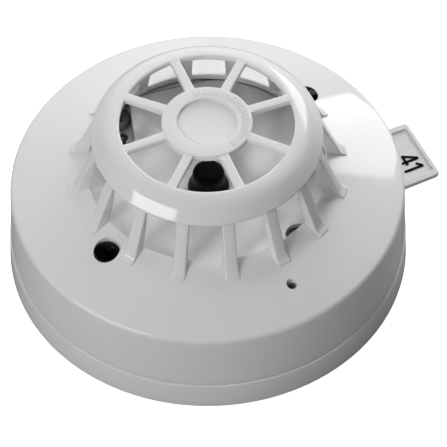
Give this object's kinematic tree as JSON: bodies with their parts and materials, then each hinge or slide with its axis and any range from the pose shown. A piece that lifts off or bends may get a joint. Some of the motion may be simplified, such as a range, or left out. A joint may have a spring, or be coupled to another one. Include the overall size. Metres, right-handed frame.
{
  "type": "heat detector",
  "caption": "Round point heat detector: domed vented sensing chamber on a twist-off head, low mounting base and slide-out address card.",
  "frame": {"origin": "centre of the cable opening at the flat back of the mounting base", "axes": "+Z from the back of the base through the head to the hub of the crown; +X and +Y in the plane of the back, the two fixing slots lie on Y and the address card leaves the rim at 25.8 degrees from +X towards +Y"},
  "size_m": [0.1098, 0.101, 0.05],
  "materials": {
    "white_polycarbonate": "satin white moulding",
    "chamber_plastic": "fine matt white moulding",
    "black_plastic": "black",
    "dark_glass_bead": "glass bead",
    "tinned_wire": "tinned",
    "dark_lens": "smoked glossy lens",
    "led_resin": "milky resin",
    "board_laminate": "solder mask",
    "chip_black": "moulded package",
    "capacitor_can": "sleeved can",
    "spring_steel": "stamped strip",
    "plated_steel": "zinc plated",
    "brass_terminal": "brass",
    "screw_steel": "dark steel",
    "black_print": "printed figures",
    "button_plastic": "moulded"
  },
  "bodies": {
    "base": {"mounting_base": "white_polycarbonate", "terminal_clamps": "plated_steel", "terminal_screws": "plated_steel", "contact_springs": "spring_steel", "earth_terminal": "brass_terminal"},
    "head": {"outer_cover": "white_polycarbonate", "window_fins": "white_polycarbonate", "crown": "white_polycarbonate", "chamber_floor": "chamber_plastic", "thermistor_cap": "black_plastic", "sensing_thermistor": "dark_glass_bead", "thermistor_leads": "tinned_wire", "aux_thermistor": "dark_glass_bead", "lens_left": "dark_lens", "lens_right": "dark_lens", "led_left": "led_resin", "led_right": "led_resin", "circuit_board": "board_laminate", "processor": "chip_black", "interface_chip": "chip_black", "capacitors": "capacitor_can", "resistors": "chip_black", "switch_pad": "black_plastic", "cover_screws": "black_plastic", "head_backplate": "white_polycarbonate", "head_contacts": "spring_steel"},
    "card": {"address_card": "white_polycarbonate", "card_number": "black_print"},
    "lock": {"locking_screw": "screw_steel"},
    "key_1": {"button_1": "button_plastic"},
    "key_2": {"button_2": "button_plastic"},
    "key_4": {"button_4": "button_plastic"},
    "key_8": {"button_8": "button_plastic"},
    "key_16": {"button_16": "button_plastic"},
    "key_32": {"button_32": "button_plastic"},
    "key_64": {"button_64": "button_plastic"}
  },
  "joints": [
    {"name": "head_twist", "type": "hinge", "parent": "base", "child": "head", "pos_m": [0, 0, 0.008], "axis": [0, 0, 1], "range_deg": [0, 20]},
    {"name": "card_slide", "type": "slide", "parent": "base", "child": "card", "axis": [0.9003, 0.4352, 0], "range_m": [0, 0.03]},
    {"name": "lock_turn", "type": "hinge", "parent": "head", "child": "lock", "pos_m": [0.0206, -0.0344, 0.012], "axis": [0, 0, 1], "continuous": true},
    {"name": "press_1", "type": "slide", "parent": "head", "child": "key_1", "axis": [0, 0, 1], "range_m": [0, 0.0009], "stiffness_N_per_m": 150},
    {"name": "press_2", "type": "slide", "parent": "head", "child": "key_2", "axis": [0, 0, 1], "range_m": [0, 0.0009], "stiffness_N_per_m": 150},
    {"name": "press_4", "type": "slide", "parent": "head", "child": "key_4", "axis": [0, 0, 1], "range_m": [0, 0.0009], "stiffness_N_per_m": 150},
    {"name": "press_8", "type": "slide", "parent": "head", "child": "key_8", "axis": [0, 0, 1], "range_m": [0, 0.0009], "stiffness_N_per_m": 150},
    {"name": "press_16", "type": "slide", "parent": "head", "child": "key_16", "axis": [0, 0, 1], "range_m": [0, 0.0009], "stiffness_N_per_m": 150},
    {"name": "press_32", "type": "slide", "parent": "head", "child": "key_32", "axis": [0, 0, 1], "range_m": [0, 0.0009], "stiffness_N_per_m": 150},
    {"name": "press_64", "type": "slide", "parent": "head", "child": "key_64", "axis": [0, 0, 1], "range_m": [0, 0.0009], "stiffness_N_per_m": 150}
  ]
}
